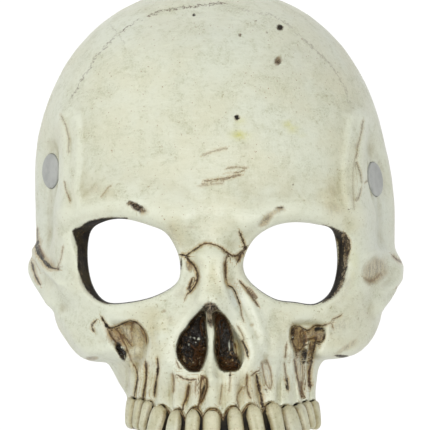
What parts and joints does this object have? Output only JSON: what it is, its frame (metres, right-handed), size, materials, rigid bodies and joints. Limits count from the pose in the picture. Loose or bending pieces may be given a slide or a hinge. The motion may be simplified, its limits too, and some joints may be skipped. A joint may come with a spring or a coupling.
{
  "type": "skull half mask",
  "caption": "Half face mask shaped as a human skull from the crown to the upper teeth, with open eye holes, an aged bone finish and a flat strap stud at each temple.",
  "frame": {"origin": "middle of the mask's bounds in X and Y, in the plane of its rear rim, which is the surface it lies on", "axes": "+X towards the viewer's right across the face, +Y up the face to the crown, +Z out of the face"},
  "size_m": [0.1849, 0.2174, 0.0924],
  "materials": {
    "bone_paint": "satin",
    "grey_plastic": "satin"
  },
  "bodies": {
    "root": {"mask_shell": "bone_paint", "strap_stud_left": "grey_plastic", "strap_stud_right": "grey_plastic"}
  },
  "joints": []
}
